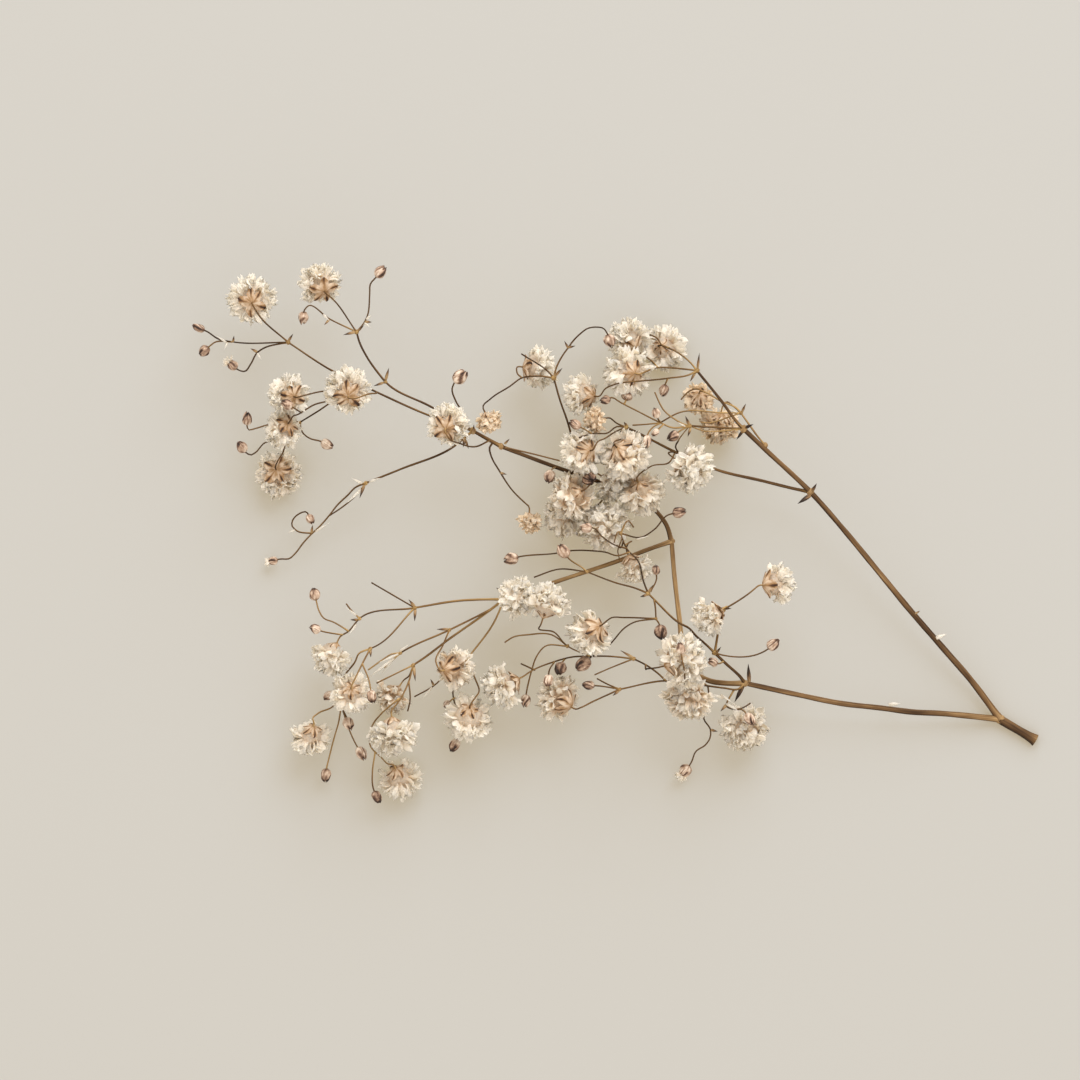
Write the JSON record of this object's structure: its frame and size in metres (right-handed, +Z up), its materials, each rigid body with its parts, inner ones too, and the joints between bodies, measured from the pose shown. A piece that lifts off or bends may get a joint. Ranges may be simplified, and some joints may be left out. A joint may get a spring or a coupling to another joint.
{
  "type": "gypsophila stem",
  "caption": "Dried double gypsophila spray lying flat: a forked bare stem, thin branching twigs with ribbed buds, and small layered white blooms.",
  "frame": {"origin": "the middle of the spray's bounding box, on the surface that it lies on", "axes": "+X from the flowering end towards the cut stub, +Y across the spray towards its upper edge in the picture, +Z up off the surface"},
  "size_m": [0.1414, 0.0902, 0.0229],
  "materials": {
    "dark_stem": "dry, matt brown stem",
    "tan_twig": "dry, matt tan twigs, bracts and calyces",
    "white_petals": "dry, crinkled off-white petals",
    "ochre_petals": "withered ochre petals"
  },
  "bodies": {
    "root": {"main_stem": "dark_stem", "spray_top_right": "tan_twig", "spray_right": "tan_twig", "spray_top_centre": "tan_twig", "spray_side": "tan_twig", "spray_top_left": "tan_twig", "spray_upper_left": "tan_twig", "spray_left_low": "tan_twig", "spray_lower_left": "tan_twig", "spray_lower_inner": "tan_twig", "spray_lower_middle": "tan_twig", "spray_lower_right": "tan_twig", "spray_centre": "tan_twig", "spray_lower_centre": "tan_twig", "bloom_01": "white_petals", "bloom_02": "white_petals", "bloom_03": "white_petals", "bloom_04": "white_petals", "bloom_05": "white_petals", "bloom_06": "ochre_petals", "bloom_07": "ochre_petals", "bloom_08": "white_petals", "bloom_09": "white_petals", "bloom_10": "white_petals", "bloom_11": "white_petals", "bloom_12": "white_petals", "bloom_13": "ochre_petals", "bloom_14": "ochre_petals", "bloom_15": "white_petals", "bloom_16": "white_petals", "bloom_17": "white_petals", "bloom_18": "ochre_petals", "bloom_19": "white_petals", "bloom_20": "white_petals", "bloom_21": "white_petals", "bloom_22": "white_petals", "bloom_23": "white_petals", "bloom_24": "white_petals", "bloom_25": "white_petals", "bloom_26": "white_petals", "bloom_27": "white_petals", "bloom_28": "white_petals", "bloom_29": "white_petals", "bloom_30": "white_petals", "bloom_31": "white_petals", "bloom_32": "white_petals", "bloom_33": "white_petals", "bloom_34": "white_petals", "bloom_35": "white_petals", "bloom_36": "white_petals", "bloom_37": "white_petals", "bloom_38": "white_petals", "bloom_39": "white_petals", "bloom_40": "white_petals", "bloom_41": "white_petals", "bloom_42": "white_petals", "bloom_43": "white_petals", "bloom_44": "white_petals"}
  },
  "joints": []
}
